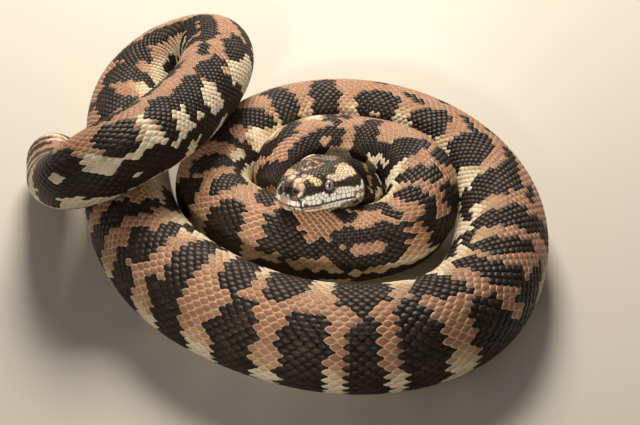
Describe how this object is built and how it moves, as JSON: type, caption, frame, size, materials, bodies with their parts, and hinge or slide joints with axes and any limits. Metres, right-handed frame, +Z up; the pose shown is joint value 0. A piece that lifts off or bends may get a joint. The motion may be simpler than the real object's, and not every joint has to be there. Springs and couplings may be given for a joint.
{
  "type": "coiled carpet python",
  "caption": "Carpet python resting in a coil, blotched dark on tan and cream, its head on the inner loop; a life-size still model.",
  "frame": {"origin": "middle of the coil's outline, on the ground under the belly", "axes": "+Z up; -Y to the near side, the side the snout points toward; +X to the right when seen from the near side"},
  "size_m": [0.3106, 0.3107, 0.0941],
  "materials": {
    "head_skin": "satin",
    "jaw_skin": "satin",
    "eye_surface": "gloss",
    "neck_skin": "satin",
    "trunk_skin": "satin",
    "tail_skin": "satin"
  },
  "bodies": {
    "root": {"head": "head_skin", "lower_jaw": "jaw_skin", "eye_left": "eye_surface", "eye_right": "eye_surface", "neck_1": "neck_skin", "neck_2": "neck_skin", "trunk_01": "trunk_skin", "trunk_02": "trunk_skin", "trunk_03": "trunk_skin", "trunk_04": "trunk_skin", "trunk_05": "trunk_skin", "trunk_06": "trunk_skin", "trunk_07": "trunk_skin", "trunk_08": "trunk_skin", "trunk_09": "trunk_skin", "trunk_10": "trunk_skin", "trunk_11": "trunk_skin", "trunk_12": "trunk_skin", "trunk_13": "trunk_skin", "trunk_14": "trunk_skin", "trunk_15": "trunk_skin", "trunk_16": "trunk_skin", "trunk_17": "trunk_skin", "trunk_18": "trunk_skin", "trunk_19": "trunk_skin", "trunk_20": "trunk_skin", "tail_1": "tail_skin", "tail_2": "tail_skin", "tail_3": "tail_skin"}
  },
  "joints": []
}
